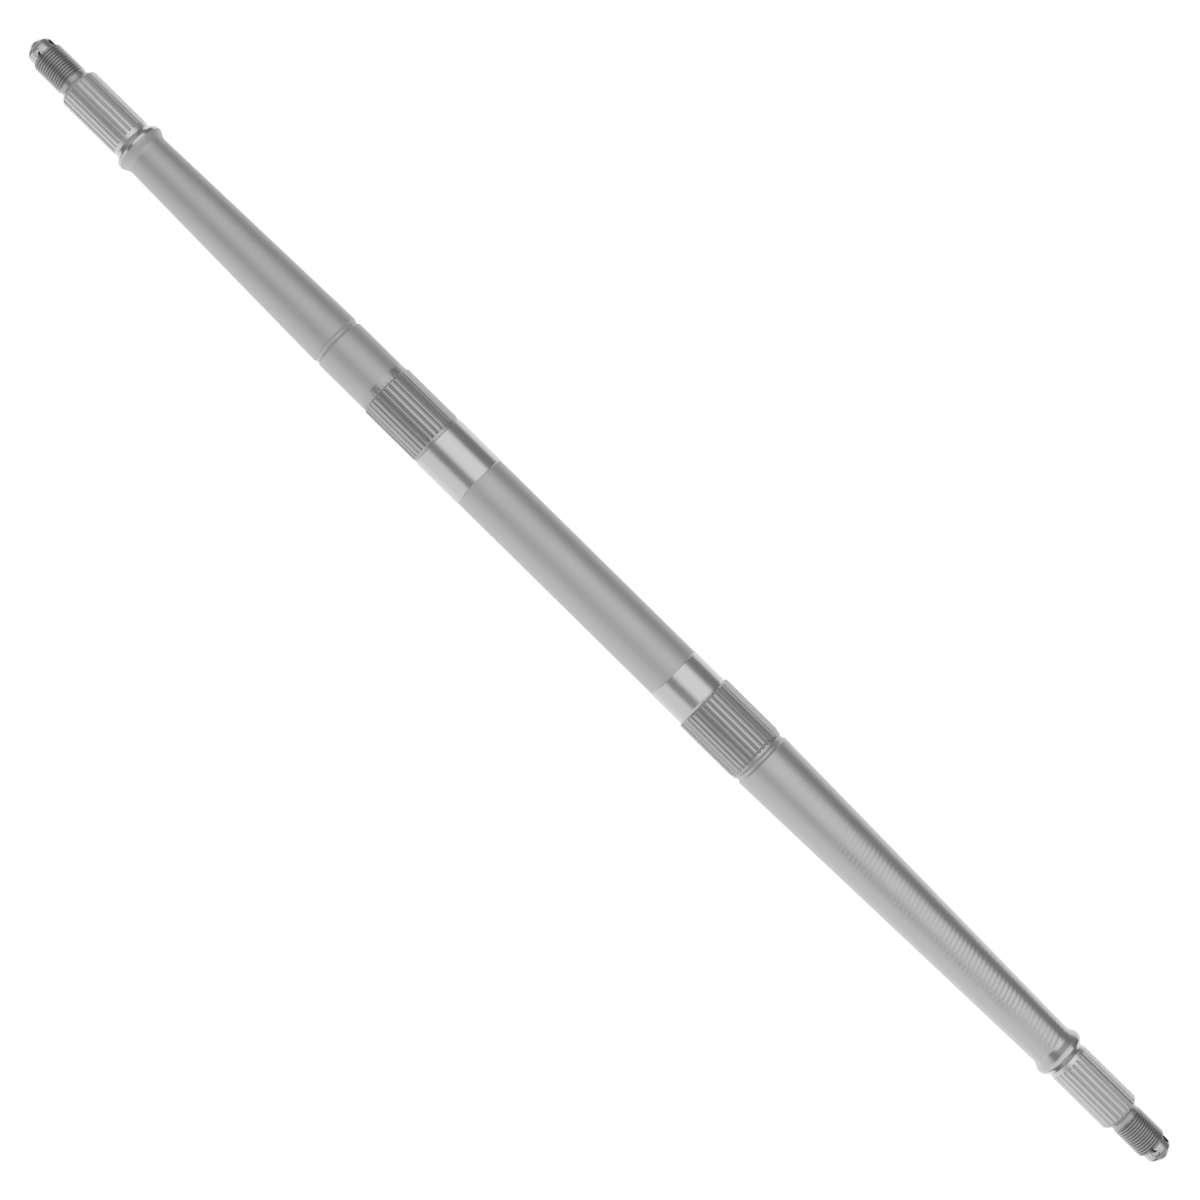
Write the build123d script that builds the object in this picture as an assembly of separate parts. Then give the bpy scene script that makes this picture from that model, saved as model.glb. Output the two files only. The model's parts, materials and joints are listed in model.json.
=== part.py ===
from build123d import *

import math
import os

# Rear axle shaft of a small four-wheeled vehicle. One bar of alloy steel, forged and turned to its
# outline, with its splines and threads rolled, its two bearing seats ground, and its ends cross-drilled.
# The axis is X, with the brake side at -X and the sprocket side at +X. The origin is at mid-length.

# ---- Driving dimensions, in millimetres and degrees ----

# Both ends are alike. Lengths run inwards from the end face.
tip_diameter = 15.0
tip_length = 8.2
tip_face_diameter = 6.8
tip_crown_diameter = 14.0
tip_crown_length = 2.6
tip_dome_length = 3.6

thread_diameter = 18.0
thread_length = 19.6
thread_lead_in = 1.2
thread_run_out = 0.6
neck_diameter = 16.8
neck_length = 2.6

end_spline_diameter = 23.1
end_spline_length = 38.5
end_spline_chamfer = 2.5
end_spline_teeth = 23
hub_neck_diameter = 22.3
hub_neck_length = 3.3

collar_diameter = 28.4
collar_front_length = 3.3
collar_width = 2.7
collar_back_length = 3.8
collar_back_fillet = 5.0

taper_small_diameter = 24.2

# Middle, from the brake side to the sprocket side.
brake_taper_length = 137.4
brake_land_diameter = 30.1
brake_land_length = 33.9

brake_spline_diameter = 31.6
brake_spline_length = 35.3
brake_spline_chamfer = 0.6
brake_spline_teeth = 31

journal_diameter = 32.0
journal_chamfer = 0.3
brake_journal_length = 30.1
sprocket_journal_length = 20.4
brake_relief_diameter = 31.0
brake_relief_width = 2.6
sprocket_relief_diameter = 31.5
sprocket_relief_width = 0.9

middle_diameter = 31.4
middle_length = 141.5

sprocket_spline_diameter = 34.1
sprocket_spline_length = 38.3
sprocket_spline_chamfer = 1.1
sprocket_spline_teeth = 34
toothless_land_diameter = 33.3
toothless_land_length = 1.9
toothless_land_slope = 1.0

sprocket_taper_length = 211.5
sprocket_taper_large_diameter = 33.5

# Grooves for the retaining rings, one beside each hub spline, with sloped walls.
ring_groove_width = 3.6
ring_groove_depth = 0.85
ring_groove_wall = 1.0

# Spline form, shared by the four splines: involute flanks, about 26 teeth to the inch of pitch diameter.
pressure_angle = 30.0
spline_addendum = 0.47
spline_tooth_depth = 1.1
spline_gap_width = 1.65

# Slope at which the gaps run out at their closed ends, and the square end of one that runs out in the open.
spline_end_slope = 45.0
brake_spline_start_slope = 9.0
open_end_slope = 90.0

# How far each rolled spline is turned about the axis, from the shaft's top.
brake_end_spline_turn = 0.0
brake_spline_turn = 0.2
sprocket_spline_turn = 2.6
sprocket_end_spline_turn = -2.0

# Two crossed holes for a split pin in each tip.
pin_hole_diameter = 4.6
pin_hole_from_end = 6.3
pin_hole_turn = 17.0
pin_hole_crossing = 90.0

# Centre-drilled hole in each end face, which the bar was turned and ground on.
centre_pilot_diameter = 2.0
centre_mouth_diameter = 4.2
centre_cone_angle = 60.0
centre_hole_depth = 3.3

# Room by which a cutter stands out past the metal that it removes.
cutter_overrun = 0.6

# ---- Places along the axis ----

end_length = (
    tip_length
    + thread_length
    + neck_length
    + end_spline_length
    + hub_neck_length
    + collar_front_length
    + collar_width
    + collar_back_length
)
middle_lengths = (
    brake_taper_length,
    ring_groove_width,
    brake_land_length,
    brake_spline_length,
    brake_relief_width,
    brake_journal_length,
    middle_length,
    sprocket_journal_length,
    sprocket_relief_width,
    sprocket_spline_length,
    toothless_land_length,
    ring_groove_width,
    sprocket_taper_length,
)
overall_length = 2 * end_length + sum(middle_lengths)

brake_taper_x = end_length - overall_length / 2
brake_groove_x = brake_taper_x + brake_taper_length
brake_land_x = brake_groove_x + ring_groove_width
brake_spline_x = brake_land_x + brake_land_length
brake_relief_x = brake_spline_x + brake_spline_length
brake_journal_x = brake_relief_x + brake_relief_width
middle_x = brake_journal_x + brake_journal_length
sprocket_journal_x = middle_x + middle_length
sprocket_relief_x = sprocket_journal_x + sprocket_journal_length
sprocket_spline_x = sprocket_relief_x + sprocket_relief_width
toothless_land_x = sprocket_spline_x + sprocket_spline_length
sprocket_groove_x = toothless_land_x + toothless_land_length
sprocket_taper_x = sprocket_groove_x + ring_groove_width


# ---- Turned outline: corners as (place along X, radius from the axis, rounding of the corner) ----


def end_outline():
    """One end, from the end face to the foot of its collar, measured inwards from the end face."""
    tip = tip_diameter / 2
    thread = thread_diameter / 2
    neck = neck_diameter / 2
    spline = end_spline_diameter / 2
    collar = collar_diameter / 2
    thread_end = tip_length + thread_length
    shoulder = thread_end + neck_length
    hub_neck_start = shoulder + end_spline_length
    collar_start = hub_neck_start + hub_neck_length
    collar_top = collar_start + collar_front_length
    collar_back = collar_top + collar_width
    return [
        (0, tip_face_diameter / 2, 0),
        (tip_crown_length, tip_crown_diameter / 2, 0),
        (tip_dome_length, tip, 0),
        (tip_length, tip, 0),
        (tip_length, thread - thread_lead_in, 0),
        (tip_length + thread_lead_in, thread, 0),
        (thread_end - thread_run_out, thread, 0),
        (thread_end, neck, 0),
        (shoulder, neck, 0),
        (shoulder, spline - end_spline_chamfer, 0),
        (shoulder + end_spline_chamfer, spline, 0),
        (hub_neck_start, spline, 0),
        (collar_start, hub_neck_diameter / 2, 0),
        (collar_top, collar, 0),
        (collar_back, collar, 0),
        (collar_back + collar_back_length, taper_small_diameter / 2, collar_back_fillet),
    ]


def brake_side_outline():
    """Ring groove, plain land, hub spline, relief and bearing journal of the brake side."""
    land = brake_land_diameter / 2
    groove = land - ring_groove_depth
    spline = brake_spline_diameter / 2
    relief = brake_relief_diameter / 2
    journal = journal_diameter / 2
    return [
        (brake_groove_x, land, 0),
        (brake_groove_x + ring_groove_wall, groove, 0),
        (brake_land_x - ring_groove_wall, groove, 0),
        (brake_land_x, land, 0),
        (brake_spline_x, land, 0),
        (brake_spline_x + brake_spline_chamfer, spline, 0),
        (brake_relief_x, spline, 0),
        (brake_journal_x, relief, 0),
        (brake_journal_x + journal_chamfer, journal, 0),
        (middle_x - journal_chamfer, journal, 0),
        (middle_x, middle_diameter / 2, 0),
    ]


def sprocket_side_outline():
    """Bearing journal, relief, hub spline, toothless land and ring groove of the sprocket side."""
    journal = journal_diameter / 2
    relief = sprocket_relief_diameter / 2
    spline = sprocket_spline_diameter / 2
    land = toothless_land_diameter / 2
    groove = land - ring_groove_depth
    return [
        (sprocket_journal_x, middle_diameter / 2, 0),
        (sprocket_journal_x + journal_chamfer, journal, 0),
        (sprocket_relief_x, journal, 0),
        (sprocket_spline_x, relief, 0),
        (sprocket_spline_x + sprocket_spline_chamfer, spline, 0),
        (toothless_land_x - toothless_land_slope, spline, 0),
        (toothless_land_x, land, 0),
        (sprocket_groove_x, land, 0),
        (sprocket_groove_x + ring_groove_wall, groove, 0),
        (sprocket_taper_x - ring_groove_wall, groove, 0),
        (sprocket_taper_x, sprocket_taper_large_diameter / 2, 0),
    ]


def turned_bar():
    """The bar turned to its whole outline."""
    half = overall_length / 2
    brake_end = [(x - half, radius, corner) for x, radius, corner in end_outline()]
    sprocket_end = [(half - x, radius, corner) for x, radius, corner in reversed(end_outline())]
    corners = [(-half, 0, 0), *brake_end, *brake_side_outline()]
    corners += [*sprocket_side_outline(), *sprocket_end, (half, 0, 0)]
    outline = FilletPolyline(
        *[(x, radius) for x, radius, corner in corners],
        radius=[corner for x, radius, corner in corners],
        close=True,
    )
    return revolve(make_face(outline), Axis.X)


# ---- Splines ----


def involute(radius, base_radius):
    """Angle in radians that an involute has turned through when it reaches a radius."""
    slope = math.sqrt((radius / base_radius) ** 2 - 1)
    return slope - math.atan(slope)


def gap_point(radius, tip_radius, base_radius, side):
    """Point of a gap's flank at a radius, with the gap standing up along the section's Y."""
    half_angle = spline_gap_width / 2 / tip_radius
    half_angle -= involute(tip_radius, base_radius) - involute(radius, base_radius)
    return (side * radius * math.sin(half_angle), radius * math.cos(half_angle))


def gap_section(spline_diameter):
    """Section of one gap between two teeth: two involute flanks and a flat root."""
    tip = spline_diameter / 2
    base = (tip - spline_addendum) * math.cos(math.radians(pressure_angle))
    root = tip - spline_tooth_depth
    outside = tip + cutter_overrun
    flanks = {}
    for side in (-1, 1):
        radii = (root, (root + outside) / 2, outside)
        flanks[side] = [gap_point(radius, tip, base, side) for radius in radii]
    left = ThreePointArc(*flanks[-1])
    right = ThreePointArc(*flanks[1])
    bottom = Line(flanks[-1][0], flanks[1][0])
    top = Line(flanks[-1][2], flanks[1][2])
    return make_face([left, top, right, bottom])


def spline_gap(spline_diameter, start, end, start_slope, end_slope):
    """Metal that one gap removes: full depth from start to end, then out at each end's slope."""
    root = spline_diameter / 2 - spline_tooth_depth
    low = root - cutter_overrun
    high = spline_diameter / 2 + 2 * cutter_overrun
    start_tan = math.tan(math.radians(start_slope))
    end_tan = math.tan(math.radians(end_slope))
    first = start - (high - root) / start_tan
    last = end + (high - root) / end_tan
    side_view = Polyline(
        (start + cutter_overrun / start_tan, low),
        (first, high),
        (last, high),
        (end - cutter_overrun / end_tan, low),
        close=True,
    )
    section = Plane.YZ.offset(first) * gap_section(spline_diameter)
    bar = extrude(section, amount=last - first, dir=(1, 0, 0))
    window = extrude(Plane.XZ * make_face(side_view), amount=2 * spline_gap_width, both=True)
    return (bar & window).solid()


def spline_gaps(gap, teeth, turn):
    """All the gaps of one spline, evenly round the axis."""
    return [Rot(X=turn + 360 * index / teeth) * gap for index in range(teeth)]


# ---- Drilled holes ----


def pin_hole(x, turn):
    """One hole through a tip, square to the axis. It grazes the thread's first turn."""
    drill = Cylinder(pin_hole_diameter / 2, thread_diameter + 2 * cutter_overrun)
    return Pos(X=x) * Rot(X=turn) * drill


def centre_hole():
    """Centre-drilled hole of the -X end face: a cone that opens outwards and a pilot under it."""
    half = overall_length / 2
    mouth = centre_mouth_diameter / 2
    pilot = centre_pilot_diameter / 2
    cone_depth = (mouth - pilot) / math.tan(math.radians(centre_cone_angle / 2))
    section = Polyline(
        (-half, 0),
        (-half, mouth),
        (-half + cone_depth, pilot),
        (-half + centre_hole_depth - pilot, pilot),
        (-half + centre_hole_depth, 0),
        close=True,
    )
    return revolve(make_face(section), Axis.X)


# ---- The shaft ----


def splined_bar():
    """The turned bar with its four splines."""
    shoulder = overall_length / 2 - tip_length - thread_length - neck_length
    neck = shoulder - end_spline_length
    past_shoulder = shoulder + cutter_overrun
    brake_end = spline_gap(
        end_spline_diameter,
        -past_shoulder,
        -neck,
        open_end_slope,
        spline_end_slope,
    )
    brake = spline_gap(
        brake_spline_diameter,
        brake_spline_x,
        brake_relief_x,
        brake_spline_start_slope,
        spline_end_slope,
    )
    sprocket = spline_gap(
        sprocket_spline_diameter,
        sprocket_spline_x - cutter_overrun,
        toothless_land_x,
        open_end_slope,
        spline_end_slope,
    )
    sprocket_end = spline_gap(
        end_spline_diameter,
        neck,
        past_shoulder,
        spline_end_slope,
        open_end_slope,
    )
    cuts = [
        *spline_gaps(brake_end, end_spline_teeth, brake_end_spline_turn),
        *spline_gaps(brake, brake_spline_teeth, brake_spline_turn),
        *spline_gaps(sprocket, sprocket_spline_teeth, sprocket_spline_turn),
        *spline_gaps(sprocket_end, end_spline_teeth, sprocket_end_spline_turn),
    ]
    return turned_bar() - cuts


def axle_shaft():
    """The finished shaft: the splined bar with its split-pin holes and its centre holes."""
    pin_hole_x = overall_length / 2 - pin_hole_from_end
    cuts = [centre_hole(), Rot(Z=180) * centre_hole()]
    for x in (-pin_hole_x, pin_hole_x):
        cuts.append(pin_hole(x, pin_hole_turn))
        cuts.append(pin_hole(x, pin_hole_turn - pin_hole_crossing))
    return splined_bar() - cuts


os.makedirs("parts", exist_ok=True)
shaft = axle_shaft()
export_step(shaft, "parts/axle_shaft.step")
print("overall length", round(overall_length, 2), "mm, volume", round(shaft.volume), "mm3")
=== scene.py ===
import json
import math

import bmesh
import bpy
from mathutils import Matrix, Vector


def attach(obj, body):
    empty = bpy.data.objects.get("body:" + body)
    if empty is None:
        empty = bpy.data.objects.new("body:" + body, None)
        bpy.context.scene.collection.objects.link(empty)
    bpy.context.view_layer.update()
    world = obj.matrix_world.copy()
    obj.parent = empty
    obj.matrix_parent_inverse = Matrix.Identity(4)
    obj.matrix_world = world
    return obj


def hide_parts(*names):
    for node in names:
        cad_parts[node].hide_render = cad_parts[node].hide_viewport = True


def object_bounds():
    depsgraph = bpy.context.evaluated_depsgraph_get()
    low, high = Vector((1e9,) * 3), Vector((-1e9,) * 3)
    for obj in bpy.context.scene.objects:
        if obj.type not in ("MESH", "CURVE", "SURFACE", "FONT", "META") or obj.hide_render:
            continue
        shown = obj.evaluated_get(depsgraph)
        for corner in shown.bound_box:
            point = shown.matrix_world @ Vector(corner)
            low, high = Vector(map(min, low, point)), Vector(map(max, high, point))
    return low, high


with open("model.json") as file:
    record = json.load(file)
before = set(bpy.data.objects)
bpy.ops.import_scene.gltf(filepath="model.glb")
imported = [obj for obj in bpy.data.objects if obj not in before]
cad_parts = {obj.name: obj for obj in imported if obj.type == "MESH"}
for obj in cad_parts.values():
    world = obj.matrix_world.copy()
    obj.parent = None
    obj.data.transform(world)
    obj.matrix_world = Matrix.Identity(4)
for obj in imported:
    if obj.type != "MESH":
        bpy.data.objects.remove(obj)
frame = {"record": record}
cad_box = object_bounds()
mounts = {mount["name"]: mount for mount in frame["record"]["mounts"]}
half = cad_box[1][0]  # the shaft lies along X, its middle at the origin, the sprocket side at +X
mm = 0.001

# ---- Camera ----
# It hangs straight over the shaft's middle and is turned about its own line of sight, so that the
# brake end points up and to the left. A lens for small products keeps both ends nearly in profile.

camera_height = 1.302
camera_shift = 0.0003
camera_turn = math.radians(44.55)
lens_mm = 75.0

camera_data = bpy.data.cameras.new("camera")
camera_data.lens = lens_mm
camera_data.sensor_width = 36.0
camera_data.clip_start = 0.05
camera = bpy.data.objects.new("camera", camera_data)
bpy.context.scene.collection.objects.link(camera)
camera.location = (camera_shift, camera_shift, camera_height)
camera.rotation_euler = (0, 0, camera_turn)
bpy.context.scene.camera = camera
bpy.context.scene.view_settings.view_transform = "Standard"


# ---- Floor ----
# A small white floor some way under the shaft, which is held clear of it as on a product stand. The
# camera and the metal see it brighter than it is lit, and it still takes the shaft's shadow.

floor_drop = 0.42
floor_size = 1.9
floor_white = 0.92
glow_level = 0.5


def paper_white(name, level):
    """Matt white that the camera and the metal see as plain white, with shadows kept."""
    material = bpy.data.materials.new(name)
    material.use_nodes = True
    nodes, links = material.node_tree.nodes, material.node_tree.links
    nodes.clear()
    output = nodes.new("ShaderNodeOutputMaterial")
    diffuse = nodes.new("ShaderNodeBsdfDiffuse")
    diffuse.inputs["Color"].default_value = (level, level, level, 1)
    glow = nodes.new("ShaderNodeEmission")
    glow.inputs["Color"].default_value = (1, 1, 1, 1)
    rays = nodes.new("ShaderNodeLightPath")
    seen = nodes.new("ShaderNodeMath")
    seen.operation = "MAXIMUM"
    links.new(rays.outputs["Is Camera Ray"], seen.inputs[0])
    links.new(rays.outputs["Is Glossy Ray"], seen.inputs[1])
    part = nodes.new("ShaderNodeMath")
    part.operation = "MULTIPLY"
    part.inputs[1].default_value = glow_level
    links.new(seen.outputs[0], part.inputs[0])
    links.new(part.outputs[0], glow.inputs["Strength"])
    both = nodes.new("ShaderNodeAddShader")
    links.new(diffuse.outputs[0], both.inputs[0])
    links.new(glow.outputs[0], both.inputs[1])
    links.new(both.outputs[0], output.inputs["Surface"])
    return material


floor_mesh = bpy.data.meshes.new("floor")
reach = floor_size / 2
floor_corners = [(-reach, -reach), (reach, -reach), (reach, reach), (-reach, reach)]
floor_mesh.from_pydata([(x, y, -floor_drop) for x, y in floor_corners], [], [(0, 1, 2, 3)])
floor_mesh.materials.append(paper_white("floor_paper", floor_white))
floor = bpy.data.objects.new("floor", floor_mesh)
bpy.context.scene.collection.objects.link(floor)


# ---- Light ----
# Long soft boxes hang over the shaft and along its front, with a gap between them that a short box
# fills at the sprocket end, and a low one stands past each end. The room around them is pale and dim.

room_level = 0.24
over_level = 0.78
front_level = 0.66
end_level = 0.60
box_distance = 2.2

world = bpy.data.worlds.new("room")
world.use_nodes = True
world.node_tree.nodes["Background"].inputs["Color"].default_value = (1, 1, 1, 1)
world.node_tree.nodes["Background"].inputs["Strength"].default_value = room_level
bpy.context.scene.world = world


def soft_box(name, lean, heading, width, length, level, shift=0.0):
    """A rectangular lamp that faces the shaft, leant from straight up and headed round from its front."""
    data = bpy.data.lights.new(name, "AREA")
    data.shape = "RECTANGLE"
    data.size = length
    data.size_y = width
    data.energy = level * math.pi * width * length
    lamp = bpy.data.objects.new(name, data)
    bpy.context.scene.collection.objects.link(lamp)
    lean, heading = math.radians(lean), math.radians(heading)
    out = box_distance * math.sin(lean)
    sideways, forwards = out * math.sin(heading), -out * math.cos(heading)
    lamp.location = (sideways + shift, forwards, box_distance * math.cos(lean))
    lamp.rotation_euler = (lean, 0, heading)
    return lamp


soft_box("soft_box_over", lean=-24, heading=0, width=3.1, length=2.6, level=over_level)
soft_box("soft_box_front", lean=80, heading=0, width=2.97, length=3.4, level=front_level)
soft_box("soft_box_gap", lean=28.5, heading=0, width=1.39, length=1.2, level=front_level, shift=1.15)
for heading, name in ((-90, "soft_box_brake_end"), (90, "soft_box_sprocket_end")):
    soft_box(name, lean=82, heading=heading, width=0.9, length=2.6, level=end_level)


# ---- Tips ----
# Both ends of the bar are turned down past the thread to a short domed tip. A split pin goes through
# one of its two crossed drillings. Each face keeps the centre hole that the bar was ground on.

tip_radius = 7.5 * mm
tip_length = 8.2 * mm
tip_face_radius = 3.4 * mm
tip_dome_length = 3.0 * mm
tip_dome_radius = 2.4 * mm
tip_edge_radius = 0.45 * mm
centre_mouth_radius = 2.1 * mm
centre_pilot_radius = 1.0 * mm
centre_cone_depth = 1.9 * mm
centre_point_slope = 0.6
centre_edge_radius = 0.1 * mm
centre_depth = 3.3 * mm
pin_rim = 0.35 * mm
pin_drill_reach = 1.4
pin_drill_steps = 64
round_steps = 160


def rounded(corners, steps=7):
    """Outline through (place, radius, rounding) corners, with an arc in place of each rounded one."""
    points = []
    for index, (x, y, radius) in enumerate(corners):
        if radius <= 0 or index in (0, len(corners) - 1):
            points.append((x, y))
            continue
        before, after = corners[index - 1], corners[index + 1]
        ax, ay = before[0] - x, before[1] - y
        bx, by = after[0] - x, after[1] - y
        la, lb = math.hypot(ax, ay), math.hypot(bx, by)
        ax, ay, bx, by = ax / la, ay / la, bx / lb, by / lb
        opening = math.acos(max(-1, min(1, ax * bx + ay * by)))
        if opening > math.pi - 0.01:
            points.append((x, y))
            continue
        run = min(radius / math.tan(opening / 2), 0.49 * la, 0.49 * lb)
        radius = run * math.tan(opening / 2)
        mx, my = ax + bx, ay + by
        lm = math.hypot(mx, my)
        reach = radius / math.sin(opening / 2)
        cx, cy = x + mx / lm * reach, y + my / lm * reach
        first = math.atan2(y + ay * run - cy, x + ax * run - cx)
        last = math.atan2(y + by * run - cy, x + bx * run - cx)
        turn = (last - first + math.pi) % (2 * math.pi) - math.pi
        for step in range(steps + 1):
            angle = first + turn * step / steps
            points.append((cx + radius * math.cos(angle), cy + radius * math.sin(angle)))
    return points


def turned(name, outline, steps=round_steps):
    """Solid of revolution about X through (place, radius) points, closed on the axis at both ends."""
    mesh = bmesh.new()
    rings = []
    for x, radius in outline:
        if radius <= 0:
            rings.append([mesh.verts.new((x, 0, 0))] * steps)
            continue
        angles = [2 * math.pi * step / steps for step in range(steps)]
        spots = [(x, radius * math.sin(angle), radius * math.cos(angle)) for angle in angles]
        rings.append([mesh.verts.new(spot) for spot in spots])
    for ring, following in zip(rings, rings[1:]):
        for step in range(steps):
            after = (step + 1) % steps
            corners = [ring[step], ring[after], following[after], following[step]]
            corners = [corner for place, corner in enumerate(corners) if corner not in corners[:place]]
            if len(corners) > 2:
                mesh.faces.new(corners)
    return finished(name, mesh)


def finished(name, mesh, crease=28):
    """Object from a bmesh: doubles merged, normals outwards, smooth but for its real edges."""
    bmesh.ops.remove_doubles(mesh, verts=mesh.verts, dist=1e-7)
    bmesh.ops.dissolve_degenerate(mesh, edges=mesh.edges, dist=1e-7)
    bmesh.ops.recalc_face_normals(mesh, faces=mesh.faces)
    for face in mesh.faces:
        face.smooth = True
    for edge in mesh.edges:
        if len(edge.link_faces) == 2:
            edge.smooth = edge.calc_face_angle(0) < math.radians(crease)
    data = bpy.data.meshes.new(name)
    mesh.to_mesh(data)
    mesh.free()
    piece = bpy.data.objects.new(name, data)
    bpy.context.scene.collection.objects.link(piece)
    return piece


def settled(piece):
    """The piece with its modifiers worked into its mesh."""
    graph = bpy.context.evaluated_depsgraph_get()
    data = bpy.data.meshes.new_from_object(piece.evaluated_get(graph))
    piece.modifiers.clear()
    piece.data = data
    return piece


def on_shaft(piece, finish):
    """Gives a piece its finish and lets it stand for the solid shaft."""
    piece.data.materials.clear()
    piece.data.materials.append(finish)
    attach(piece, "root")
    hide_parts("axle_shaft")


def from_end(side, outline):
    """An outline measured inwards from an end face, set at that end: side is -1 or 1."""
    return [(side * (half - x), radius) for x, radius in outline]


cloud_scale = 60
cloud_detail = 4
gloss_low, gloss_high = 0.88, 1.12
mark_stretch = 0.02
mark_detail = 3


def steel(name, colour, roughness, mottle, marks, mark_scale, depth, smoother=None):
    """Bare steel: a mottled grey with fine turning lines.

    smoother is (from x, to x, share of the roughness left there).
    """
    material = bpy.data.materials.new(name)
    material.use_nodes = True
    nodes, links = material.node_tree.nodes, material.node_tree.links
    shader = nodes["Principled BSDF"]
    shader.inputs["Metallic"].default_value = 1.0
    place = nodes.new("ShaderNodeTexCoord")

    cloud = nodes.new("ShaderNodeTexNoise")
    cloud.inputs["Scale"].default_value = cloud_scale
    cloud.inputs["Detail"].default_value = cloud_detail
    links.new(place.outputs["Object"], cloud.inputs["Vector"])
    tone = nodes.new("ShaderNodeMix")
    tone.data_type = "RGBA"
    tone.inputs["A"].default_value = (*[part * (1 - mottle) for part in colour], 1)
    tone.inputs["B"].default_value = (*[min(1, part * (1 + mottle)) for part in colour], 1)
    links.new(cloud.outputs["Fac"], tone.inputs["Factor"])
    links.new(tone.outputs["Result"], shader.inputs["Base Color"])

    gloss = nodes.new("ShaderNodeMapRange")
    gloss.inputs["To Min"].default_value = roughness * gloss_low
    gloss.inputs["To Max"].default_value = roughness * gloss_high
    links.new(cloud.outputs["Fac"], gloss.inputs["Value"])
    if smoother:
        axes = nodes.new("ShaderNodeSeparateXYZ")
        links.new(place.outputs["Object"], axes.inputs[0])
        along = nodes.new("ShaderNodeMapRange")
        for socket, number in zip(("From Min", "From Max", "To Max"), smoother):
            along.inputs[socket].default_value = number
        along.inputs["To Min"].default_value = 1
        links.new(axes.outputs["X"], along.inputs["Value"])
        share = nodes.new("ShaderNodeMath")
        share.operation = "MULTIPLY"
        links.new(gloss.outputs["Result"], share.inputs[0])
        links.new(along.outputs["Result"], share.inputs[1])
        links.new(share.outputs[0], shader.inputs["Roughness"])
    else:
        links.new(gloss.outputs["Result"], shader.inputs["Roughness"])

    stretch = nodes.new("ShaderNodeMapping")
    round_scale = mark_scale * mark_stretch
    stretch.inputs["Scale"].default_value = (mark_scale, round_scale, round_scale)
    links.new(place.outputs["Object"], stretch.inputs["Vector"])
    lines = nodes.new("ShaderNodeTexNoise")
    lines.inputs["Scale"].default_value = 1
    lines.inputs["Detail"].default_value = mark_detail
    links.new(stretch.outputs["Vector"], lines.inputs["Vector"])
    bump = nodes.new("ShaderNodeBump")
    bump.inputs["Strength"].default_value = marks
    bump.inputs["Distance"].default_value = depth
    links.new(lines.outputs["Fac"], bump.inputs["Height"])
    links.new(bump.outputs["Normal"], shader.inputs["Normal"])
    return material


polished = steel("polished_steel", (0.60, 0.60, 0.60), 0.20, 0.04, 0.2, 3000, 0.00002)

pin_mounts = {
    -1: [mounts["brake_end_pin_hole"], mounts["brake_end_crossing_pin_hole"]],
    1: [mounts["sprocket_end_pin_hole"], mounts["sprocket_end_crossing_pin_hole"]],
}


def mount_radius(mount):
    return mount["dims"]["r_mm"] * mm


def mount_ends(mount):
    """Low and high end of a mount along X."""
    middle, length = mount["pos_m"][0], mount["dims"]["length_mm"] * mm
    return middle - length / 2, middle + length / 2


def pin_drill(mount):
    """Cutter for one split-pin hole, flared a little where it comes out of the tip."""
    radius = mount_radius(mount)
    far = tip_radius * pin_drill_reach
    rim = tip_radius - pin_rim
    flare = radius + (far - rim)
    outline = [(-far, 0), (-far, flare), (-rim, radius), (rim, radius), (far, flare), (far, 0)]
    drill = turned("drill", outline, pin_drill_steps)
    axis = mount["axis"]
    turn = math.atan2(-axis[1], axis[2])
    for vertex in drill.data.vertices:
        z, y, x = vertex.co  # the drill was turned about X and is stood up along Z
        low, high = y * math.cos(turn) - z * math.sin(turn), y * math.sin(turn) + z * math.cos(turn)
        vertex.co = (mount["pos_m"][0] + x, low, high)
    return drill


def drilled(piece, side):
    """Cuts an end's two crossed pin holes through a piece."""
    for mount in pin_mounts[side]:
        drill = pin_drill(mount)
        fix = bmesh.new()
        fix.from_mesh(drill.data)
        bmesh.ops.recalc_face_normals(fix, faces=fix.faces)
        fix.to_mesh(drill.data)
        fix.free()
        cut = piece.modifiers.new("pin_hole", "BOOLEAN")
        cut.operation = "DIFFERENCE"
        cut.solver = "EXACT"
        cut.object = drill
        settled(piece)
        bpy.data.objects.remove(drill)
    mesh = bmesh.new()
    mesh.from_mesh(piece.data)
    name = piece.name
    bpy.data.objects.remove(piece)
    return finished(name, mesh)


tip_outline = [
    (centre_depth, 0, 0),
    (centre_depth - centre_pilot_radius * centre_point_slope, centre_pilot_radius, 0),
    (centre_cone_depth, centre_pilot_radius, 0),
    (0, centre_mouth_radius, centre_edge_radius),
    (0, tip_face_radius, tip_edge_radius),
    (tip_dome_length, tip_radius, tip_dome_radius),
    (tip_length, tip_radius, 0),
    (tip_length, 0, 0),
]
for side, name in ((-1, "brake_tip"), (1, "sprocket_tip")):
    tip = turned(name, from_end(side, rounded(tip_outline)))
    on_shaft(drilled(tip, side), polished)


# ---- Threads ----
# M18 x 1.5 for the wheel nuts, rolled into the bar and right-handed at both ends. The rolls leave
# round crests and a soft root, and the last turns fade out in the neck before the wheel spline.

thread_length = 19.6 * mm
thread_pitch = 1.5 * mm
thread_depth = 0.92 * mm
thread_lead_in = 1.2 * mm
thread_fade_turns = 0.7
crest_half = 1 / 16  # of the pitch, from the crest's middle to where the flank starts
flank_foot = 6 / 16
neck_length = 2.6 * mm
neck_radius = 8.4 * mm
samples_a_turn = 16
thread_columns = 144


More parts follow.
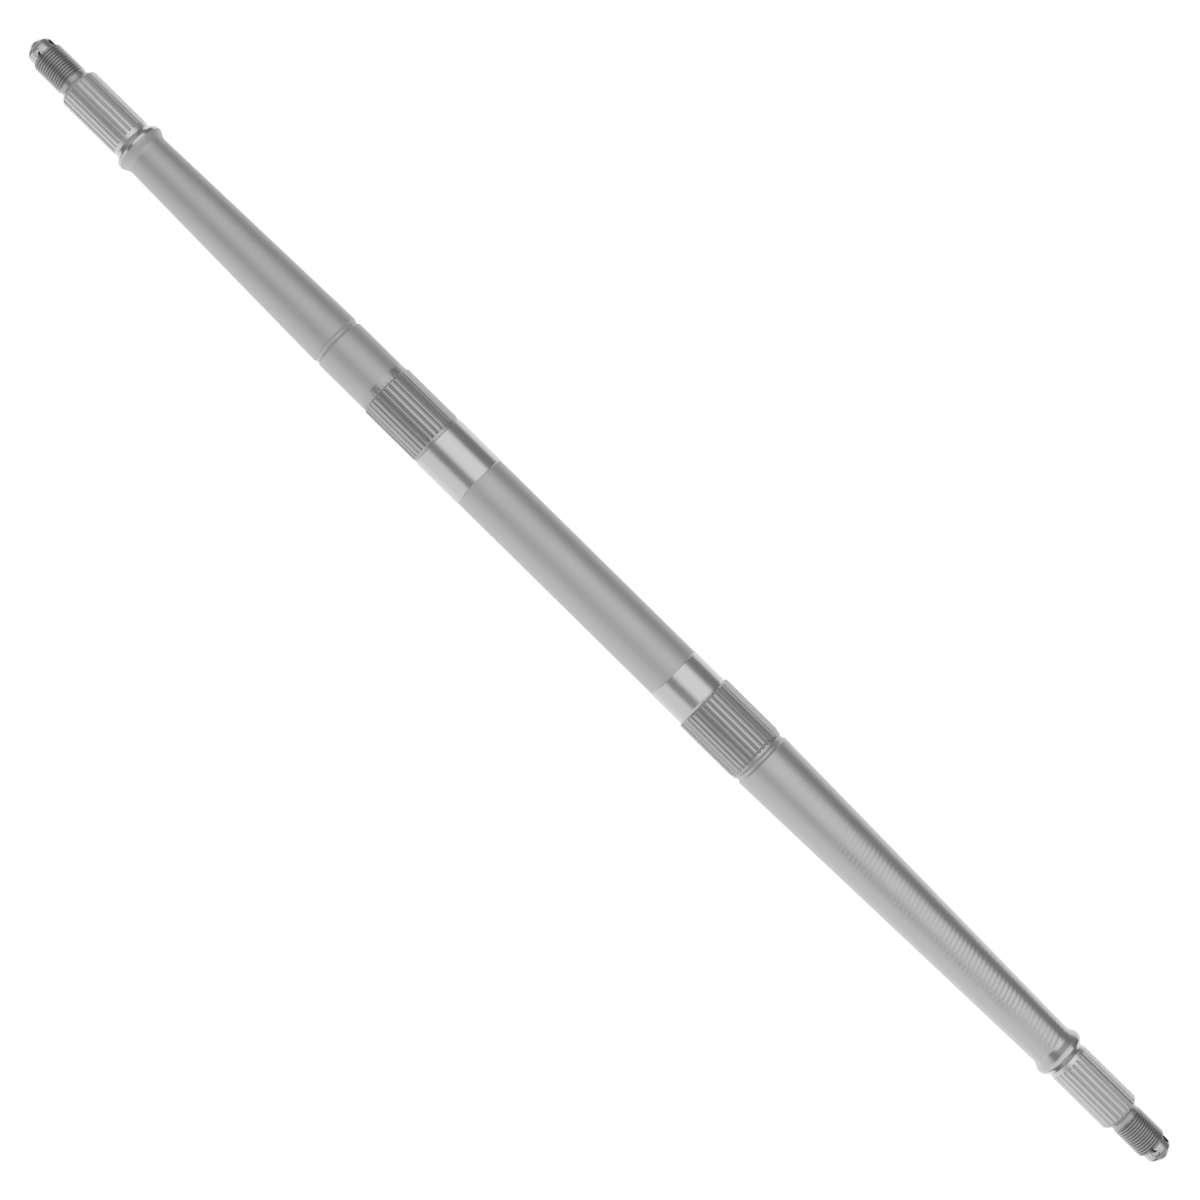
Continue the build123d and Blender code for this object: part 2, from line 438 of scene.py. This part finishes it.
class Fields:
    """Short way to write the sums of a geometry tree."""

    def __init__(self, tree):
        self.tree = tree

    def put(self, kind, **settings):
        node = self.tree.nodes.new(kind)
        for setting, value in settings.items():
            setattr(node, setting, value)
        return node

    def feed(self, socket, value):
        if isinstance(value, bpy.types.NodeSocket):
            self.tree.links.new(value, socket)
        else:
            socket.default_value = value

    def sum(self, operation, *values):
        node = self.put("ShaderNodeMath", operation=operation)
        for socket, value in zip(node.inputs, values):
            self.feed(socket, value)
        return node.outputs[0]

    def slope(self, value, low, high, start, end):
        """Value taken from low..high to start..end, and held at the ends."""
        node = self.put("ShaderNodeMapRange", clamp=True)
        for socket, number in zip(node.inputs, (value, low, high, start, end)):
            self.feed(socket, number)
        return node.outputs[0]


def geometry_tree(name, sizes):
    """Empty geometry tree with a named input for each size, its fields, and its end nodes."""
    tree = bpy.data.node_groups.new(name, "GeometryNodeTree")
    tree.interface.new_socket("Geometry", in_out="OUTPUT", socket_type="NodeSocketGeometry")
    tree.interface.new_socket("Geometry", in_out="INPUT", socket_type="NodeSocketGeometry")
    for size, kind in sizes.items():
        tree.interface.new_socket(size, in_out="INPUT", socket_type=kind)
    fields = Fields(tree)
    return tree, fields, fields.put("NodeGroupInput"), fields.put("NodeGroupOutput")


def grown(piece, tree, sizes):
    """Runs a geometry tree on a piece with these sizes and keeps the result as its mesh."""
    modifier = piece.modifiers.new(tree.name, "NODES")
    modifier.node_group = tree
    for item in tree.interface.items_tree:
        if item.in_out == "INPUT" and item.name in sizes:
            modifier[item.identifier] = sizes[item.name]
    settled(piece)
    return piece


def closed(piece):
    """Caps the open ends of a grown piece and finishes its mesh."""
    mesh = bmesh.new()
    mesh.from_mesh(piece.data)
    bmesh.ops.remove_doubles(mesh, verts=mesh.verts, dist=1e-6)
    bmesh.ops.dissolve_degenerate(mesh, edges=mesh.edges, dist=1e-7)
    open_edges = [edge for edge in mesh.edges if len(edge.link_faces) == 1]
    bmesh.ops.holes_fill(mesh, edges=open_edges, sides=0)
    name = piece.name
    bpy.data.objects.remove(piece)
    return finished(name, mesh)


number, whole, stuff = "NodeSocketFloat", "NodeSocketInt", "NodeSocketMaterial"
thread_sizes = {
    "Start": number,
    "Length": number,
    "Inwards": number,
    "Crest Radius": number,
    "Pitch": number,
    "Depth": number,
    "Lead In": number,
    "Neck Length": number,
    "Neck Radius": number,
    "Samples a Turn": whole,
    "Columns": whole,
    "Finish": stuff,
}
thread_tree, fields, given, made = geometry_tree("rolled_thread", thread_sizes)
start, length, inwards, crest, pitch, depth = given.outputs[1:7]
lead, neck, neck_r, samples, columns, finish = given.outputs[7:13]
grid = fields.put("GeometryNodeMeshGrid")
grid.inputs["Size X"].default_value = 1
grid.inputs["Size Y"].default_value = 1
turns = fields.sum("CEIL", fields.sum("DIVIDE", length, pitch))
rows = fields.sum("MULTIPLY", fields.sum("ADD", turns, 1), samples)
fields.feed(grid.inputs["Vertices X"], fields.sum("ADD", columns, 1))
fields.feed(grid.inputs["Vertices Y"], fields.sum("ADD", rows, 1))
at = fields.put("ShaderNodeSeparateXYZ")
fields.feed(at.inputs[0], fields.put("GeometryNodeInputPosition").outputs[0])
round_it = fields.sum("ADD", at.outputs["X"], 0.5)
row = fields.sum("MULTIPLY", fields.sum("ADD", at.outputs["Y"], 0.5), rows)
climb = fields.sum("MULTIPLY", round_it, inwards)
outwards = fields.sum("MAXIMUM", fields.sum("MULTIPLY", inwards, -1), 0)
turn_back = fields.sum("ADD", climb, fields.sum("SUBTRACT", outwards, 1))
phase = fields.sum("DIVIDE", row, samples)
along = fields.sum("MULTIPLY", fields.sum("ADD", phase, turn_back), pitch)
along = fields.sum("MINIMUM", fields.sum("MAXIMUM", along, 0), length)
from_crest = fields.sum("PINGPONG", phase, 0.5)
rise = fields.slope(from_crest, crest_half, flank_foot, 1, 0)
thread_end = fields.sum("SUBTRACT", length, neck)
fade_start = fields.sum("SUBTRACT", thread_end, fields.sum("MULTIPLY", pitch, thread_fade_turns))
fade = fields.slope(along, fade_start, length, 1, 0)
faded_depth = fields.sum("MULTIPLY", depth, fade)
cut = fields.sum("MULTIPLY", faded_depth, fields.sum("SUBTRACT", 1, rise))
thread_r = fields.sum("SUBTRACT", crest, cut)
lead_r = fields.slope(along, 0, lead, fields.sum("SUBTRACT", crest, lead), crest)
end_start = fields.sum("SUBTRACT", thread_end, fields.sum("SUBTRACT", crest, neck_r))
end_r = fields.slope(along, end_start, thread_end, crest, neck_r)
radius = fields.sum("MINIMUM", fields.sum("MINIMUM", lead_r, end_r), thread_r)
angle = fields.sum("MULTIPLY", round_it, 2 * math.pi)
spot = fields.put("ShaderNodeCombineXYZ")
fields.feed(spot.inputs["X"], fields.sum("ADD", start, fields.sum("MULTIPLY", along, inwards)))
aside = fields.sum("MULTIPLY", fields.sum("SINE", angle), radius)
fields.feed(spot.inputs["Y"], fields.sum("MULTIPLY", aside, -1))
fields.feed(spot.inputs["Z"], fields.sum("MULTIPLY", fields.sum("COSINE", angle), radius))
move = fields.put("GeometryNodeSetPosition")
fields.feed(move.inputs["Geometry"], grid.outputs["Mesh"])
fields.feed(move.inputs["Position"], spot.outputs[0])
merge = fields.put("GeometryNodeMergeByDistance")
merge.inputs["Distance"].default_value = 1e-6
fields.feed(merge.inputs["Geometry"], move.outputs[0])
real = fields.put("GeometryNodeRealizeInstances")
fields.feed(real.inputs[0], merge.outputs[0])
paint = fields.put("GeometryNodeSetMaterial")
fields.feed(paint.inputs["Geometry"], real.outputs[0])
fields.feed(paint.inputs["Material"], finish)
fields.feed(made.inputs[0], paint.outputs[0])

rolled = steel("rolled_steel", (0.50, 0.50, 0.50), 0.36, 0.05, 0.15, 2500, 0.00002)

thread_radius = mount_radius(mounts["sprocket_end_thread"])
for side, name in ((-1, "brake_thread"), (1, "sprocket_thread")):
    thread = bpy.data.objects.new(name, bpy.data.meshes.new(name))
    bpy.context.scene.collection.objects.link(thread)
    grown(
        thread,
        thread_tree,
        {
            "Start": side * (half - tip_length),
            "Length": thread_length + neck_length,
            "Inwards": float(-side),
            "Crest Radius": thread_radius,
            "Pitch": thread_pitch,
            "Depth": thread_depth,
            "Lead In": thread_lead_in,
            "Neck Length": neck_length,
            "Neck Radius": neck_radius,
            "Samples a Turn": samples_a_turn,
            "Columns": thread_columns,
            "Finish": rolled,
        },
    )
    on_shaft(drilled(closed(thread), side), rolled)


# ---- Splines ----
# Two wheel splines at the ends, the brake disc's hub spline and the sprocket's. All four are rolled
# with the same involute tooth, 26 to the inch, and each gap runs out where its roll lifted off.

spline_addendum = 0.47 * mm
pressure_angle = math.radians(30)
tooth_depth = 1.1 * mm
gap_width = 1.65 * mm
root_fillet = 0.28 * mm
tooth_edge = 0.12 * mm
fillet_share, edge_share = 0.4, 0.3  # of the gap's depth, at most
least_gap = 0.02 * mm
no_gap = 0.01 * mm
run_out_steps = 14
run_out_slope = 45
least_step = 1e-9


def involute(radius, base):
    """Angle that an involute has turned through when it reaches a radius."""
    slope = math.sqrt(max(0, (radius / base) ** 2 - 1))
    return slope - math.atan(slope)


def gap_half_angle(radius, tip, base):
    """Half the angle that a gap is wide at a radius."""
    return gap_width / 2 / tip - involute(tip, base) + involute(max(radius, base), base)


def gap_ring(teeth, tip, floor_radius, skin_radius):
    """Half of one gap and its land, as (angle, radius) points from the gap's middle to the land's."""
    base = (tip - spline_addendum) * math.cos(pressure_angle)
    shallow = min(floor_radius, skin_radius - least_gap)
    middle = (shallow + skin_radius) / 2
    depth = skin_radius - shallow
    corners = [
        (0, shallow, 0),
        (gap_half_angle(shallow, tip, base) * tip, shallow, min(root_fillet, fillet_share * depth)),
        (gap_half_angle(middle, tip, base) * tip, middle, 0),
        (gap_half_angle(skin_radius, tip, base) * tip, skin_radius, min(tooth_edge, edge_share * depth)),
        (math.pi / teeth * tip, skin_radius, 0),
    ]
    points = rounded(corners, 3)
    if floor_radius >= skin_radius - no_gap:
        return [(across / tip, skin_radius) for across, radius in points]
    return [(across / tip, radius) for across, radius in points]


def between(outline, x):
    """Radius of an outline at a place along X."""
    for (x0, r0), (x1, r1) in zip(outline, outline[1:]):
        if x0 <= x <= x1:
            return r0 + (r1 - r0) * (x - x0) / max(x1 - x0, least_step)
    return outline[-1][1]


def one_tooth(name, teeth, tip, skin, first, first_slope, last, last_slope):
    """One gap with half a land at each side, under a turned skin that is given from low X to high X."""
    root = tip - tooth_depth

    def floor_at(x):
        rise_first = max(0, first - x) * math.tan(math.radians(first_slope)) if first_slope else 0
        rise_last = max(0, x - last) * math.tan(math.radians(last_slope)) if last_slope else 0
        return root + max(rise_first, rise_last)

    places = [x for x, radius in skin]
    for edge, slope, way in ((first, first_slope, -1), (last, last_slope, 1)):
        if slope:
            reach = tooth_depth / math.tan(math.radians(slope))
            places += [edge + way * reach * step / run_out_steps for step in range(run_out_steps + 1)]
    for (x0, r0), (x1, r1) in zip(skin, skin[1:]):
        if (r0 - root) * (r1 - root) < 0:
            places.append(x0 + (x1 - x0) * (root - r0) / (r1 - r0))
    low, high = skin[0][0], skin[-1][0]
    places = sorted(x for x in set(places) if low <= x <= high)
    mesh = bmesh.new()
    rings = []
    for x in places:
        half_ring = gap_ring(teeth, tip, floor_at(x), between(skin, x))
        ring = [(-angle, radius) for angle, radius in reversed(half_ring[1:])] + half_ring
        spots = [(x, radius * math.sin(angle), radius * math.cos(angle)) for angle, radius in ring]
        rings.append([mesh.verts.new(spot) for spot in spots])
    for ring, following in zip(rings, rings[1:]):
        for step in range(len(ring) - 1):
            mesh.faces.new((ring[step], ring[step + 1], following[step + 1], following[step]))
    data = bpy.data.meshes.new(name)
    mesh.to_mesh(data)
    mesh.free()
    piece = bpy.data.objects.new(name, data)
    bpy.context.scene.collection.objects.link(piece)
    return piece


round_tree, fields, given, made = geometry_tree(
    "teeth_round_the_axis", {"Teeth": whole, "Turn": number, "Finish": stuff}
)
tooth, teeth, turn, finish = given.outputs[:4]
line = fields.put("GeometryNodeMeshLine")
fields.feed(line.inputs["Count"], teeth)
line.inputs["Offset"].default_value = (0, 0, 0)
copies = fields.put("GeometryNodeInstanceOnPoints")
fields.feed(copies.inputs["Points"], line.outputs[0])
fields.feed(copies.inputs["Instance"], tooth)
step = fields.sum("DIVIDE", 2 * math.pi, teeth)
swing = fields.put("ShaderNodeCombineXYZ")
index = fields.put("GeometryNodeInputIndex").outputs[0]
fields.feed(swing.inputs["X"], fields.sum("ADD", fields.sum("MULTIPLY", index, step), turn))
fields.feed(copies.inputs["Rotation"], swing.outputs[0])
real = fields.put("GeometryNodeRealizeInstances")
fields.feed(real.inputs[0], copies.outputs[0])
merge = fields.put("GeometryNodeMergeByDistance")
merge.inputs["Distance"].default_value = 1e-6
fields.feed(merge.inputs["Geometry"], real.outputs[0])
paint = fields.put("GeometryNodeSetMaterial")
fields.feed(paint.inputs["Geometry"], merge.outputs[0])
fields.feed(paint.inputs["Material"], finish)
fields.feed(made.inputs[0], paint.outputs[0])


def splined(name, teeth, tip, skin, first, first_slope, last, last_slope, turned_by, finish):
    """A whole spline on the shaft, turned by some degrees. A slope of 0 is an end without a run-out."""
    piece = one_tooth(name, teeth, tip, skin, first, first_slope, last, last_slope)
    grown(piece, round_tree, {"Teeth": teeth, "Turn": math.radians(turned_by), "Finish": finish})
    on_shaft(closed(piece), finish)


wiped = steel("wiped_steel", (0.68, 0.68, 0.68), 0.36, 0.05, 0.15, 2500, 0.00002)

wheel_teeth = 23
wheel_tip = mount_radius(mounts["brake_end_wheel_spline"])
shoulder = tip_length + thread_length + neck_length
shoulder_chamfer = 2.5 * mm
shoulder_rounding = 0.9 * mm
wheel_end_rounding = 1.5 * mm
brake_wheel_turn = 0.0
sprocket_wheel_turn = -2.0
wheel_spline_length = 38.5 * mm
hub_neck_length = 3.3 * mm
hub_neck_radius = 11.15 * mm
wheel_spline_end = shoulder + wheel_spline_length
collar_start = wheel_spline_end + hub_neck_length

wheel_skin = rounded(
    [
        (shoulder, wheel_tip - shoulder_chamfer, 0),
        (shoulder + shoulder_chamfer, wheel_tip, shoulder_rounding),
        (wheel_spline_end, wheel_tip, wheel_end_rounding),
        (collar_start, hub_neck_radius, 0),
    ]
)
splined(
    "brake_wheel_spline",
    wheel_teeth,
    wheel_tip,
    from_end(-1, wheel_skin),
    -half,
    0,
    wheel_spline_end - half,
    run_out_slope,
    brake_wheel_turn,
    wiped,
)
splined(
    "sprocket_wheel_spline",
    wheel_teeth,
    wheel_tip,
    list(reversed(from_end(1, wheel_skin))),
    half - wheel_spline_end,
    run_out_slope,
    half,
    0,
    sprocket_wheel_turn,
    wiped,
)

brake_spline = mounts["brake_hub_spline"]
brake_teeth = 31
brake_tip = mount_radius(brake_spline)
brake_from, brake_to = mount_ends(brake_spline)
brake_spline_turn = 0.2
brake_run_out_slope = 9
brake_start_run = 0.6 * mm
brake_start_fillet = 0.2 * mm
brake_edge_radius = 0.3 * mm
brake_land_radius = 15.05 * mm
brake_relief_radius = 15.5 * mm
brake_relief_width = 2.6 * mm
brake_relief_fillet = 0.8 * mm
land_under_run_out = 4.4 * mm
splined(
    "brake_hub_spline",
    brake_teeth,
    brake_tip,
    rounded(
        [
            (brake_from - land_under_run_out, brake_land_radius, 0),
            (brake_from, brake_land_radius, brake_start_fillet),
            (brake_from + brake_start_run, brake_tip, brake_edge_radius),
            (brake_to, brake_tip, brake_edge_radius),
            (brake_to + brake_relief_width / 2, brake_relief_radius, brake_relief_fillet),
            (brake_to + brake_relief_width, brake_relief_radius, 0),
        ],
        4,
    ),
    brake_from,
    brake_run_out_slope,
    brake_to,
    run_out_slope,
    brake_spline_turn,
    rolled,
)

sprocket_spline = mounts["sprocket_hub_spline"]
sprocket_teeth = 34
sprocket_tip = mount_radius(sprocket_spline)
sprocket_from, sprocket_to = mount_ends(sprocket_spline)
sprocket_spline_turn = 2.6
sprocket_chamfer = 1.3 * mm
sprocket_chamfer_run = 1.1 * mm
sprocket_chamfer_rounding = 0.4 * mm
sprocket_step_run = 1.0 * mm
sprocket_step_rounding = 0.8 * mm
sprocket_step_fillet = 0.5 * mm
past_the_teeth = 5 * mm
toothless_radius = 16.65 * mm
toothless_length = 1.9 * mm
splined(
    "sprocket_hub_spline",
    sprocket_teeth,
    sprocket_tip,
    rounded(
        [
            (sprocket_from, sprocket_tip - sprocket_chamfer, 0),
            (sprocket_from + sprocket_chamfer_run, sprocket_tip, sprocket_chamfer_rounding),
            (sprocket_to - sprocket_step_run, sprocket_tip, sprocket_step_rounding),
            (sprocket_to, toothless_radius, sprocket_step_fillet),
            (sprocket_to + toothless_length, toothless_radius, 0),
        ],
        4,
    ),
    sprocket_from - past_the_teeth,
    0,
    sprocket_to,
    run_out_slope,
    sprocket_spline_turn,
    rolled,
)


# ---- Collars ----
# The wheel hub stops against a forged collar at the inner end of each wheel spline. Its hub side and
# rim are turned clean.

collar_radius = 14.2 * mm
collar_front = 3.3 * mm
collar_width = 2.7 * mm
collar_front_share = 0.6
collar_foot_run = 0.05 * mm
collar_foot_fillet = 0.5 * mm
collar_edge_radius = 0.8 * mm
collar_top = collar_start + collar_front
collar_middle = collar_top + collar_width * collar_front_share

collar_outline = [
    (collar_start, 0, 0),
    (collar_start, hub_neck_radius, 0),
    (collar_start + collar_foot_run, hub_neck_radius, collar_foot_fillet),
    (collar_top, collar_radius, collar_edge_radius),
    (collar_middle, collar_radius, 0),
    (collar_middle, 0, 0),
]
for side, name in ((-1, "brake_collar"), (1, "sprocket_collar")):
    on_shaft(turned(name, from_end(side, rounded(collar_outline))), polished)


# ---- Arms ----
# From each collar the bar thickens towards the middle. The brake side is left satin. The sprocket side
# shows the slanted waves of a tool that sang. A round groove for a wire ring closes each arm.

collar_back = collar_top + collar_width
collar_back_run = 3.8 * mm
collar_foot = collar_back + collar_back_run
arm_radius = 12.1 * mm
foot_fillet = 5.0 * mm
groove_roundness = 0.82  # 1 would be a full half circle
satin = steel("satin_steel", (0.62, 0.62, 0.62), 0.56, 0.035, 0.25, 1800, 0.00003)
sung_smoother = (0.12, 0.33, 0.7)
sung = steel("sung_steel", (0.58, 0.58, 0.58), 0.46, 0.035, 0.25, 1400, 0.00003, sung_smoother)

chatter_pitch = 2.8 * mm
chatter_starts = 8.0
chatter_height = 0.035 * mm
chatter_row = 0.36 * mm
chatter_columns = 128
chatter_growth = 60 * mm
chatter_fade = 4 * mm
waver_scale = 45
waver_detail = 2
waver_low, waver_high = 0.3, 0.7  # of the noise
weakest_wave, strongest_wave = 0.35, 1.25

chatter_sizes = {
    "From": number,
    "Grown By": number,
    "To": number,
    "Fade": number,
    "Pitch": number,
    "Starts": number,
    "Height": number,
    "Finish": stuff,
}
chatter_tree, fields, given, made = geometry_tree("chattered_bar", chatter_sizes)
bar, begin, grown_by, end, fade, pitch, starts, height, finish = given.outputs[:9]
at = fields.put("ShaderNodeSeparateXYZ")
fields.feed(at.inputs[0], fields.put("GeometryNodeInputPosition").outputs[0])
along, aside, upward = at.outputs["X"], at.outputs["Y"], at.outputs["Z"]
angle = fields.sum("ARCTAN2", fields.sum("MULTIPLY", aside, -1), upward)
squares = fields.sum("ADD", fields.sum("POWER", aside, 2), fields.sum("POWER", upward, 2))
radius = fields.sum("SQRT", squares)
turned_on = fields.sum("DIVIDE", fields.sum("MULTIPLY", angle, starts), 2 * math.pi)
phase = fields.sum("SUBTRACT", fields.sum("DIVIDE", along, pitch), turned_on)
wave = fields.sum("SINE", fields.sum("MULTIPLY", phase, 2 * math.pi))
swell = fields.slope(along, begin, grown_by, 0, 1)
settle = fields.slope(along, fields.sum("SUBTRACT", end, fade), end, 1, 0)
waver = fields.put("ShaderNodeTexNoise")
waver.inputs["Scale"].default_value = waver_scale
waver.inputs["Detail"].default_value = waver_detail
unsteady = fields.slope(waver.outputs[0], waver_low, waver_high, weakest_wave, strongest_wave)
lift = fields.sum("MULTIPLY", fields.sum("MULTIPLY", wave, height), fields.sum("MULTIPLY", swell, settle))
lift = fields.sum("DIVIDE", fields.sum("MULTIPLY", lift, unsteady), radius)
out = fields.put("ShaderNodeCombineXYZ")
fields.feed(out.inputs["Y"], fields.sum("MULTIPLY", aside, lift))
fields.feed(out.inputs["Z"], fields.sum("MULTIPLY", upward, lift))
move = fields.put("GeometryNodeSetPosition")
fields.feed(move.inputs["Geometry"], bar)
fields.feed(move.inputs["Offset"], out.outputs[0])
real = fields.put("GeometryNodeRealizeInstances")
fields.feed(real.inputs[0], move.outputs[0])
paint = fields.put("GeometryNodeSetMaterial")
fields.feed(paint.inputs["Geometry"], real.outputs[0])
fields.feed(paint.inputs["Material"], finish)
fields.feed(made.inputs[0], paint.outputs[0])

arm_start = [
    (collar_middle, 0, 0),
    (collar_middle, collar_radius, 0),
    (collar_back, collar_radius, collar_edge_radius),
    (collar_foot, arm_radius, foot_fillet),
]


def ring_groove(mount, low_radius, high_radius, steps=14):
    """Round-bottomed groove as outline points from low X to high X."""
    middle = mount["pos_m"][0]
    width = mount["dims"]["length_mm"] * mm
    bottom = mount_radius(mount)
    full_rise = 1 - math.sqrt(1 - groove_roundness**2)
    points = []
    for step in range(steps + 1):
        across = 2 * step / steps - 1
        lip = low_radius + (high_radius - low_radius) * step / steps
        rise = 1 - math.sqrt(1 - (groove_roundness * across) ** 2)
        points.append((middle + across * width / 2, bottom + (lip - bottom) * rise / full_rise))
    return points


brake_groove = mounts["brake_ring_groove"]
brake_groove_from = mount_ends(brake_groove)[0]
land_end = brake_from - land_under_run_out
brake_arm = from_end(-1, rounded(arm_start + [(half + brake_groove_from, brake_land_radius, 0)]))
brake_arm = brake_arm[:-1] + ring_groove(brake_groove, brake_land_radius, brake_land_radius)
brake_arm += [(land_end, brake_land_radius), (land_end, 0)]
on_shaft(turned("brake_arm", brake_arm), satin)

sprocket_groove = mounts["sprocket_ring_groove"]
sprocket_groove_from, sprocket_groove_to = mount_ends(sprocket_groove)
sprocket_arm_radius = 16.75 * mm
sprocket_arm = from_end(1, rounded(arm_start + [(half - sprocket_groove_to, sprocket_arm_radius, 0)]))
foot_end, groove_lip = sprocket_arm[-2], sprocket_arm[-1]
rows = int((foot_end[0] - groove_lip[0]) / chatter_row)
sprocket_arm = sprocket_arm[:-1] + [
    tuple(near + (far - near) * row / rows for near, far in zip(foot_end, groove_lip))
    for row in range(1, rows)
]
sprocket_arm += list(reversed(ring_groove(sprocket_groove, toothless_radius, sprocket_arm_radius)))
sprocket_arm += [(sprocket_groove_from, 0)]
sung_arm = turned("sprocket_arm", sprocket_arm, chatter_columns)
grown(
    sung_arm,
    chatter_tree,
    {
        "From": sprocket_groove_to,
        "Grown By": sprocket_groove_to + chatter_growth,
        "To": half - collar_back,
        "Fade": chatter_fade,
        "Pitch": chatter_pitch,
        "Starts": chatter_starts,
        "Height": chatter_height,
        "Finish": sung,
    },
)
on_shaft(sung_arm, sung)


# ---- Middle ----
# The plain length between the bearings is left as turned. The two journals that the bearings sit on
# are ground round, so they are bright and a little larger.

middle_radius = 15.7 * mm
journal_edge = 0.3 * mm
journal_rounding = 0.3 * mm
relief_side_rounding = 0.15 * mm
ground = steel("ground_steel", (0.62, 0.62, 0.62), 0.29, 0.02, 0.12, 6000, 0.00001)

brake_journal = mounts["brake_journal"]
journal_radius = mount_radius(brake_journal)
brake_journal_from = brake_to + brake_relief_width
brake_journal_to = mount_ends(brake_journal)[1] + journal_edge
on_shaft(
    turned(
        "brake_journal",
        rounded(
            [
                (brake_journal_from, 0, 0),
                (brake_journal_from, brake_relief_radius, 0),
                (brake_journal_from + journal_edge, journal_radius, relief_side_rounding),
                (brake_journal_to - journal_edge, journal_radius, journal_rounding),
                (brake_journal_to, middle_radius, 0),
                (brake_journal_to, 0, 0),
            ]
        ),
    ),
    ground,
)

sprocket_journal = mounts["sprocket_journal"]
sprocket_journal_from, sprocket_journal_to = mount_ends(sprocket_journal)
sprocket_journal_from -= journal_edge
sprocket_journal_to += journal_edge
on_shaft(
    turned(
        "sprocket_journal",
        rounded(
            [
                (sprocket_journal_from, 0, 0),
                (sprocket_journal_from, middle_radius, 0),
                (sprocket_journal_from + journal_edge, journal_radius, journal_rounding),
                (sprocket_journal_to - journal_edge, journal_radius, journal_rounding),
                (sprocket_from, sprocket_tip - sprocket_chamfer, 0),
                (sprocket_from, 0, 0),
            ]
        ),
    ),
    ground,
)

on_shaft(
    turned(
        "middle",
        [
            (brake_journal_to, 0),
            (brake_journal_to, middle_radius),
            (sprocket_journal_from, middle_radius),
            (sprocket_journal_from, 0),
        ],
    ),
    satin,
)
